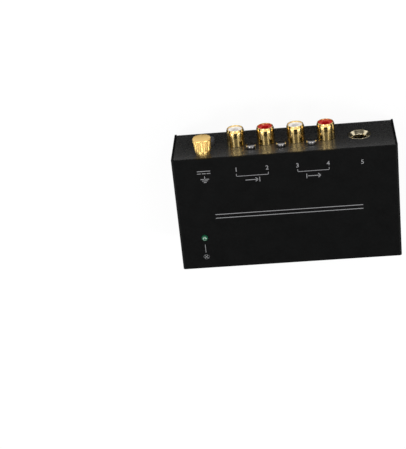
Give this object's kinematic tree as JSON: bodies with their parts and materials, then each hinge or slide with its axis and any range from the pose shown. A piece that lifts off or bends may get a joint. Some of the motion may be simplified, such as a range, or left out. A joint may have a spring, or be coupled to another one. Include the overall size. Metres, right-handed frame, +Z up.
{
  "type": "phono preamp",
  "caption": "Small black steel phono preamp box with phono input and output sockets, a 6.35 mm output, a DC inlet, a ground thumb nut and a green lamp on top.",
  "frame": {"origin": "on the table under the middle of the whole object, sockets included", "axes": "+X to the right as the top is read, +Y out of the connector panel, +Z up"},
  "size_m": [0.104, 0.065, 0.0344],
  "materials": {
    "black_steel": "black powder coat, semi-gloss",
    "black_cover": "black powder coat, satin",
    "zinc_steel": "zinc plated",
    "black_screw": "black oxide",
    "nickel": "bright nickel",
    "rubber": "matt",
    "board": "solder mask",
    "black_moulding": "moulded",
    "gold": "gold plated",
    "white_insulator": "moulded",
    "red_insulator": "moulded",
    "green_lamp": "clear green resin",
    "wire_sleeve": "wire insulation",
    "capacitor_sleeve": "heat-shrink sleeve",
    "film_case": "epoxy case"
  },
  "bodies": {
    "casing": {"chassis": "black_steel", "cover": "black_cover", "standoffs": "zinc_steel", "board_screws": "zinc_steel", "ground_nut": "zinc_steel", "ground_lock_washer": "zinc_steel", "led_legs": "zinc_steel", "voltage_regulator": "zinc_steel", "cover_screws": "black_screw", "panel_screws": "nickel", "phone_jack_ring": "nickel", "phone_jack_sleeve_spring": "nickel", "phone_jack_tip_spring": "nickel", "dc_inlet_pin": "nickel", "dc_inlet_spring": "nickel", "foot_front_left": "rubber", "foot_front_right": "rubber", "foot_rear_left": "rubber", "foot_rear_right": "rubber", "circuit_board": "board", "rca_block": "black_moulding", "phone_jack_body": "black_moulding", "dc_inlet_body": "black_moulding", "led_spacer": "black_moulding", "amplifier_chip_left": "black_moulding", "amplifier_chip_right": "black_moulding", "supply_diode": "black_moulding", "resistors": "black_moulding", "rca_shell_input_left": "gold", "rca_shell_input_right": "gold", "rca_shell_output_left": "gold", "rca_shell_output_right": "gold", "ground_stud": "gold", "ground_lug": "gold", "rca_contact_input_left": "gold", "rca_contact_input_right": "gold", "rca_contact_output_left": "gold", "rca_contact_output_right": "gold", "rca_insulator_input_left": "white_insulator", "rca_insulator_output_left": "white_insulator", "rca_insulator_input_right": "red_insulator", "rca_insulator_output_right": "red_insulator", "led": "green_lamp", "ground_wire": "wire_sleeve", "supply_capacitor": "capacitor_sleeve", "coupling_capacitor_1": "capacitor_sleeve", "coupling_capacitor_2": "capacitor_sleeve", "coupling_capacitor_3": "capacitor_sleeve", "coupling_capacitor_4": "capacitor_sleeve", "coupling_capacitor_5": "capacitor_sleeve", "film_capacitors": "film_case"},
    "ground_clamp": {"ground_washer": "gold"},
    "ground_nut_body": {"thumb_nut": "gold"}
  },
  "joints": [
    {"name": "nut_travel", "type": "slide", "parent": "casing", "child": "ground_clamp", "axis": [0, 1, 0], "range_m": [0, 0.0028]},
    {"name": "nut_turn", "type": "hinge", "parent": "ground_clamp", "child": "ground_nut_body", "pos_m": [-0.0373, 0, 0.0265], "axis": [0, 1, 0], "range_deg": [0, 1440]}
  ],
  "couplings": [
    {"joint": "nut_turn", "follows": "nut_travel", "rad_per_m": 8976}
  ]
}
